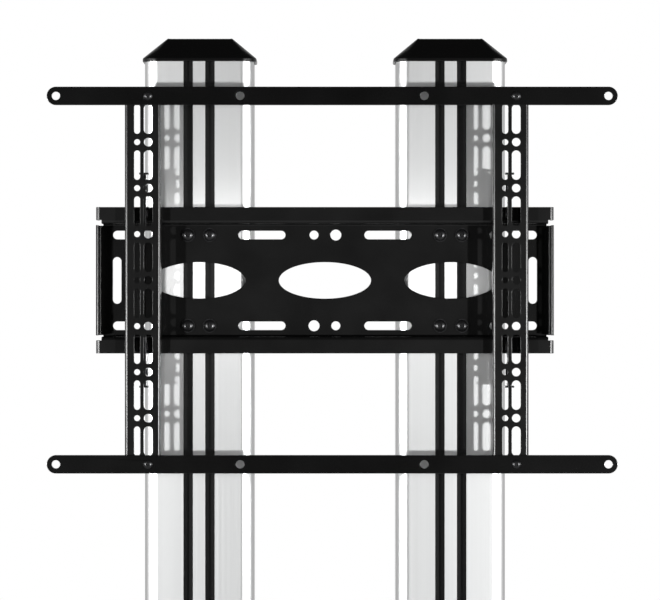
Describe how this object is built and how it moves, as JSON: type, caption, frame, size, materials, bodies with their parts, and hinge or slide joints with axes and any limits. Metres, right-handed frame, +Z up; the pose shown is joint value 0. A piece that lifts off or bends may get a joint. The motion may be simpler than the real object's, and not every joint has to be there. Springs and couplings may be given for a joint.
{
  "type": "display floor stand",
  "caption": "Floor stand for a flat display: twin slotted aluminium columns on a steel base, with a sliding wall plate, hook-on slotted arms and drilled cross bars.",
  "frame": {"origin": "on the floor, under the middle of the base", "axes": "+Z up, the display side faces -Y, +X to the right as seen from the front"},
  "size_m": [0.9128, 0.706, 1.8],
  "materials": {
    "powder_coat": "satin black powder coat",
    "moulded_cap": "fine-textured black moulding",
    "slot_strip": "matt black extruded strip",
    "pad_rubber": "matt black rubber",
    "anodised_aluminium": "satin silver anodised extrusion",
    "black_screw": "black oxide, slightly glossy",
    "zinc_steel": "bright zinc plate",
    "spring_steel": "dark phosphated spring wire"
  },
  "bodies": {
    "stand": {"leg_left": "powder_coat", "leg_right": "powder_coat", "leg_plugs": "moulded_cap", "floor_pads": "pad_rubber", "cross_beam": "powder_coat", "crush_tubes": "zinc_steel", "beam_bolts": "black_screw", "beam_nuts": "zinc_steel", "shoe_left": "powder_coat", "shoe_right": "powder_coat", "shoe_bolts": "black_screw", "shoe_nuts": "zinc_steel", "column_screws": "zinc_steel", "column_left": "anodised_aluminium", "column_right": "anodised_aluminium", "cap_left": "moulded_cap", "cap_right": "moulded_cap", "slot_liners_left": "slot_strip", "slot_liners_right": "slot_strip", "rear_infill_left": "slot_strip", "rear_infill_right": "slot_strip"},
    "carriage": {"wall_plate": "powder_coat", "plate_screws": "black_screw", "plate_washers": "black_screw", "plate_spacers": "slot_strip", "t_nuts": "zinc_steel"},
    "display_frame": {"arm_left": "powder_coat", "arm_right": "powder_coat", "hook_plate_left": "powder_coat", "hook_plate_right": "powder_coat", "hook_doublers": "powder_coat", "guide_studs": "black_screw", "bar_upper": "powder_coat", "bar_lower": "powder_coat", "bar_screws": "black_screw", "bar_nuts": "zinc_steel", "lock_spring_left": "spring_steel", "lock_spring_right": "spring_steel"},
    "lock_left": {"lock_slide_left": "black_screw"},
    "lock_right": {"lock_slide_right": "black_screw"}
  },
  "joints": [
    {"name": "carriage_height", "type": "slide", "parent": "stand", "child": "carriage", "axis": [0, 0, 1], "range_m": [-1.2, 0.17]},
    {"name": "frame_side_shift", "type": "slide", "parent": "carriage", "child": "display_frame", "axis": [1, 0, 0], "range_m": [-0.046, 0.042]},
    {"name": "lock_left_pull", "type": "slide", "parent": "display_frame", "child": "lock_left", "axis": [0, 0, -1], "range_m": [0, 0.01], "stiffness_N_per_m": 500, "springref_m": -0.012, "deforming": ["lock_spring_left"]},
    {"name": "lock_right_pull", "type": "slide", "parent": "display_frame", "child": "lock_right", "axis": [0, 0, -1], "range_m": [0, 0.01], "stiffness_N_per_m": 500, "springref_m": -0.012, "deforming": ["lock_spring_right"]}
  ]
}
